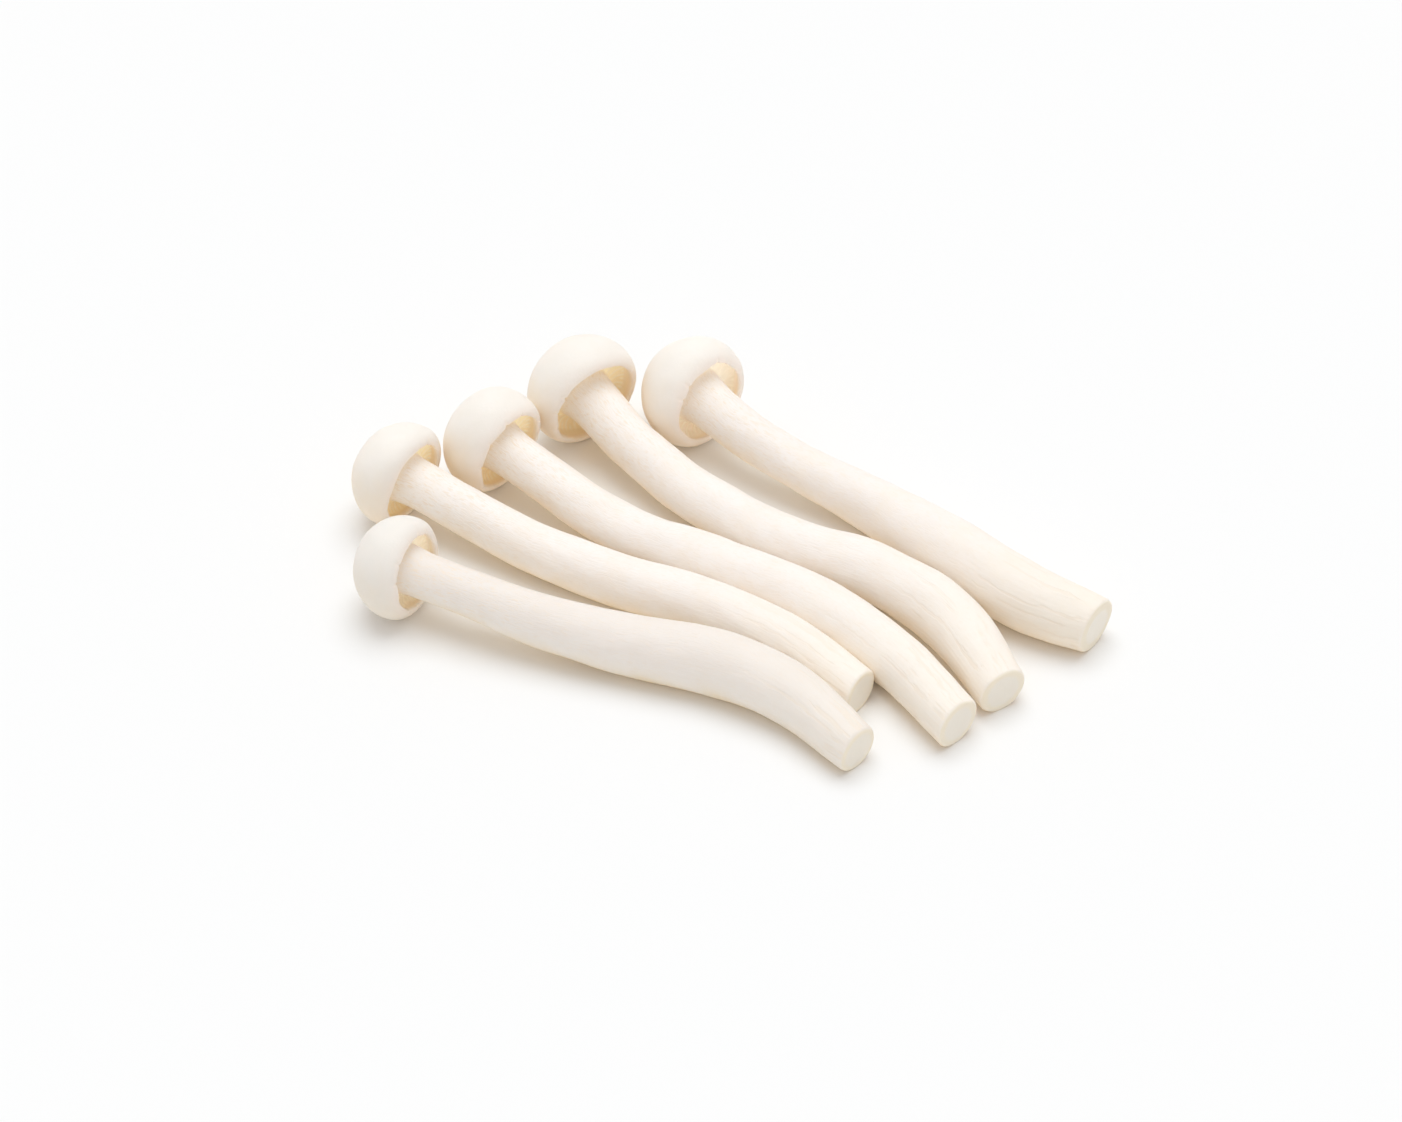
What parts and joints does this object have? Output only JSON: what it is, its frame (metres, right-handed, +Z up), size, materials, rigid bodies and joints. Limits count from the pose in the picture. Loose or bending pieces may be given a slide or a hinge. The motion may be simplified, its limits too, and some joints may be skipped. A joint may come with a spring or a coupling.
{
  "type": "enoki mushroom bunch",
  "caption": "Bunch of cut white mushrooms with long curved stems and small domed caps, lying fanned out side by side, to dress a kitchen scene or a food display.",
  "frame": {"origin": "on the surface that the bunch lies on, under the middle of its box", "axes": "+X along the bunch from the caps to the cut ends, +Y across it towards the back mushroom, +Z up"},
  "size_m": [0.0933, 0.0649, 0.0153],
  "materials": {
    "white_flesh": "smooth matt white mushroom flesh, a touch grey",
    "cream_flesh": "smooth matt white mushroom flesh, warm in the hollows",
    "ivory_flesh": "smooth matt white mushroom flesh, yellower towards the cut end"
  },
  "bodies": {
    "root": {"mushroom_1": "white_flesh", "mushroom_2": "cream_flesh", "mushroom_3": "cream_flesh", "mushroom_4": "cream_flesh", "mushroom_5": "ivory_flesh"}
  },
  "joints": []
}
